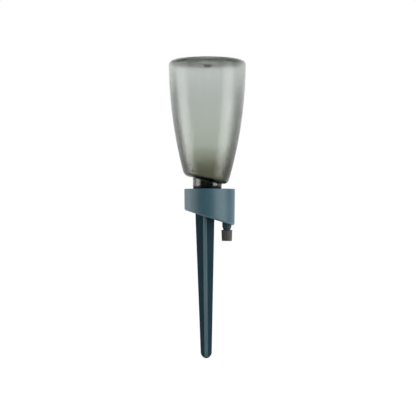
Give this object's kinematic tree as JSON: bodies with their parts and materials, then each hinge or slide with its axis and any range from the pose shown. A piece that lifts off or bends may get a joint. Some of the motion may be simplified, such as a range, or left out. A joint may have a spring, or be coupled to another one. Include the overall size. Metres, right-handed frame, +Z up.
{
  "type": "drip watering spike",
  "caption": "Upturned water bottle on a soil spike: the bottle plugs into an angled holder with a cross-bladed spike and an adjustable drip valve.",
  "frame": {"origin": "on the bottle's upright axis, at the level of the spike's tip, which is the middle of the bounding box's bottom", "axes": "+Z up, from the tip to the bottle's base; +X towards the drip valve, the way the holder's floor falls"},
  "size_m": [0.0856, 0.0856, 0.33],
  "materials": {
    "frosted_bottle": "translucent, with a fine hammered grain",
    "blue_grey_plastic": "satin moulded plastic with a fine grain",
    "black_plastic": "satin",
    "dark_grey_plastic": "satin, fluted",
    "white_plastic": "plain moulded",
    "black_rubber": "dull",
    "pale_rubber": "dull",
    "spring_steel": "drawn wire"
  },
  "bodies": {
    "holder": {"holder_cup": "blue_grey_plastic", "holder_lid": "blue_grey_plastic", "lid_seal": "black_rubber", "spike": "blue_grey_plastic", "drip_barrel": "blue_grey_plastic", "outlet_ring": "black_rubber", "knob_ring": "black_rubber"},
    "bottle_cap": {"cap": "black_plastic", "plug_ring": "black_rubber", "valve_cage": "black_plastic", "cage_lid": "black_plastic", "valve_spring": "spring_steel"},
    "bottle_valve": {"valve_stem": "white_plastic", "valve_seal": "black_rubber"},
    "gasket": {"cap_gasket": "pale_rubber"},
    "bottle": {"bottle": "frosted_bottle"},
    "needle": {"drip_needle": "white_plastic"},
    "knob": {"drip_knob": "dark_grey_plastic"}
  },
  "joints": [
    {"name": "bottle_lift", "type": "slide", "parent": "holder", "child": "bottle_cap", "axis": [0, 0, 1], "range_m": [0, 0.045]},
    {"name": "valve_travel", "type": "slide", "parent": "bottle_cap", "child": "bottle_valve", "axis": [0, 0, 1], "range_m": [-0.00295, 0], "deforming": ["valve_spring"]},
    {"name": "bottle_rise", "type": "slide", "parent": "bottle_cap", "child": "gasket", "axis": [0, 0, 1], "range_m": [0, 0.0064]},
    {"name": "bottle_turn", "type": "hinge", "parent": "gasket", "child": "bottle", "pos_m": [0, 0, 0.1801], "axis": [0, 0, 1], "range_deg": [0, 720]},
    {"name": "needle_travel", "type": "slide", "parent": "holder", "child": "needle", "axis": [0, 0, 1], "range_m": [-0.003, 0]},
    {"name": "knob_turn", "type": "hinge", "parent": "needle", "child": "knob", "pos_m": [0.0217, 0, 0.13247], "axis": [0, 0, 1], "range_deg": [-720, 0]}
  ],
  "couplings": [
    {"joint": "valve_travel", "follows": "bottle_lift", "ratio": -0.0655},
    {"joint": "bottle_rise", "follows": "bottle_turn", "m_per_rad": 0.00050929},
    {"joint": "knob_turn", "follows": "needle_travel", "rad_per_m": 4188.8}
  ]
}
